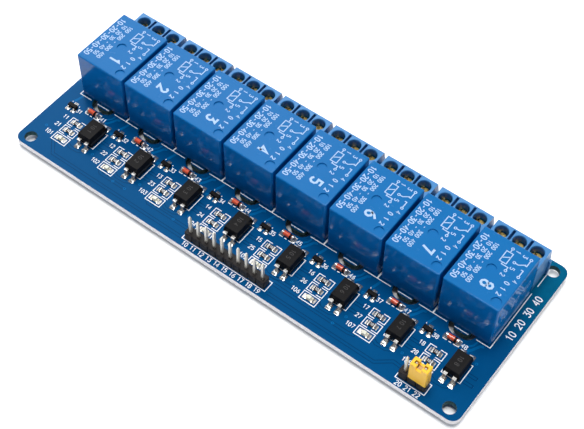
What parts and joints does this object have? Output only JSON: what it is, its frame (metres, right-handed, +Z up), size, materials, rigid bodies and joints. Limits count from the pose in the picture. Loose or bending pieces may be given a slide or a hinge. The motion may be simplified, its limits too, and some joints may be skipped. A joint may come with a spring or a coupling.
{
  "type": "relay module board",
  "caption": "Relay driver board: a row of sealed relays with screw terminal blocks behind them, opto-isolated stages in front and pin headers along the edge.",
  "frame": {"origin": "centre of the four mounting holes, on the board's underside where stand-offs meet it", "axes": "+X along the board's long side, from the first channel to the last; +Y from the headers to the screw terminals; +Z up, out of the component side"},
  "size_m": [0.14, 0.0536, 0.0186],
  "materials": {
    "board_blue": "glossy solder mask over glass-epoxy laminate",
    "relay_blue": "moulded, satin to glossy",
    "terminal_blue": "moulded, satin",
    "relay_base": "moulded",
    "bobbin": "moulded",
    "winding_copper": "enamelled wire",
    "relay_iron": "plated",
    "contact_bronze": "rolled strip",
    "tinned_lead": "matt tin",
    "terminal_brass": "zinc passivated",
    "moulding_black": "fine sparked finish",
    "diode_glass": "clear over a copper-coloured stud",
    "resistor_glaze": "glazed film",
    "led_body": "laminate",
    "led_lens": "clear moulded resin",
    "header_black": "moulded",
    "header_pin": "bright tin",
    "jumper_yellow": "moulded",
    "solder": "bright tin-lead fillets"
  },
  "bodies": {
    "board": {"pcb": "board_blue", "relay_case_1": "relay_blue", "relay_case_2": "relay_blue", "relay_case_3": "relay_blue", "relay_case_4": "relay_blue", "relay_case_5": "relay_blue", "relay_case_6": "relay_blue", "relay_case_7": "relay_blue", "relay_case_8": "relay_blue", "terminal_housing_1": "terminal_blue", "terminal_housing_2": "terminal_blue", "terminal_housing_3": "terminal_blue", "terminal_housing_4": "terminal_blue", "terminal_housing_5": "terminal_blue", "terminal_housing_6": "terminal_blue", "terminal_housing_7": "terminal_blue", "terminal_housing_8": "terminal_blue", "relay_bases": "relay_base", "relay_bobbins": "bobbin", "relay_windings": "winding_copper", "relay_cores": "relay_iron", "relay_yokes": "relay_iron", "relay_fixed_contacts": "contact_bronze", "relay_leads": "tinned_lead", "terminal_screws": "terminal_brass", "terminal_clamps": "terminal_brass", "terminal_leads": "tinned_lead", "optocoupler_bodies": "moulding_black", "optocoupler_leads": "tinned_lead", "transistor_bodies": "moulding_black", "transistor_leads": "tinned_lead", "diode_glass": "diode_glass", "diode_caps": "tinned_lead", "resistor_chips": "resistor_glaze", "resistor_terminations": "tinned_lead", "led_bodies": "led_body", "led_lenses": "led_lens", "input_header_strip": "header_black", "input_header_pins": "header_pin", "power_header_strip": "header_black", "power_header_pins": "header_pin", "solder_joints": "solder"},
    "armature_1": {"relay_armature_1": "relay_iron", "relay_moving_contact_1": "contact_bronze"},
    "armature_2": {"relay_armature_2": "relay_iron", "relay_moving_contact_2": "contact_bronze"},
    "armature_3": {"relay_armature_3": "relay_iron", "relay_moving_contact_3": "contact_bronze"},
    "armature_4": {"relay_armature_4": "relay_iron", "relay_moving_contact_4": "contact_bronze"},
    "armature_5": {"relay_armature_5": "relay_iron", "relay_moving_contact_5": "contact_bronze"},
    "armature_6": {"relay_armature_6": "relay_iron", "relay_moving_contact_6": "contact_bronze"},
    "armature_7": {"relay_armature_7": "relay_iron", "relay_moving_contact_7": "contact_bronze"},
    "armature_8": {"relay_armature_8": "relay_iron", "relay_moving_contact_8": "contact_bronze"},
    "jumper_cap": {"jumper_housing": "jumper_yellow", "jumper_clip": "contact_bronze"}
  },
  "joints": [
    {"name": "armature_swing_1", "type": "hinge", "parent": "board", "child": "armature_1", "pos_m": [-0.05805, -0.002, 0.01225], "axis": [-1, 0, 0], "range_deg": [0, 3.2], "stiffness_Nm_per_rad": 0.01, "springref_deg": -11.46},
    {"name": "armature_swing_2", "type": "hinge", "parent": "board", "child": "armature_2", "pos_m": [-0.04155, -0.002, 0.01225], "axis": [-1, 0, 0], "range_deg": [0, 3.2], "stiffness_Nm_per_rad": 0.01, "springref_deg": -11.46},
    {"name": "armature_swing_3", "type": "hinge", "parent": "board", "child": "armature_3", "pos_m": [-0.02505, -0.002, 0.01225], "axis": [-1, 0, 0], "range_deg": [0, 3.2], "stiffness_Nm_per_rad": 0.01, "springref_deg": -11.46},
    {"name": "armature_swing_4", "type": "hinge", "parent": "board", "child": "armature_4", "pos_m": [-0.00855, -0.002, 0.01225], "axis": [-1, 0, 0], "range_deg": [0, 3.2], "stiffness_Nm_per_rad": 0.01, "springref_deg": -11.46},
    {"name": "armature_swing_5", "type": "hinge", "parent": "board", "child": "armature_5", "pos_m": [0.00795, -0.002, 0.01225], "axis": [-1, 0, 0], "range_deg": [0, 3.2], "stiffness_Nm_per_rad": 0.01, "springref_deg": -11.46},
    {"name": "armature_swing_6", "type": "hinge", "parent": "board", "child": "armature_6", "pos_m": [0.02445, -0.002, 0.01225], "axis": [-1, 0, 0], "range_deg": [0, 3.2], "stiffness_Nm_per_rad": 0.01, "springref_deg": -11.46},
    {"name": "armature_swing_7", "type": "hinge", "parent": "board", "child": "armature_7", "pos_m": [0.04095, -0.002, 0.01225], "axis": [-1, 0, 0], "range_deg": [0, 3.2], "stiffness_Nm_per_rad": 0.01, "springref_deg": -11.46},
    {"name": "armature_swing_8", "type": "hinge", "parent": "board", "child": "armature_8", "pos_m": [0.05745, -0.002, 0.01225], "axis": [-1, 0, 0], "range_deg": [0, 3.2], "stiffness_Nm_per_rad": 0.01, "springref_deg": -11.46},
    {"name": "jumper_pull", "type": "slide", "parent": "board", "child": "jumper_cap", "axis": [0, 0, 1], "range_m": [0, 0.0065]}
  ]
}
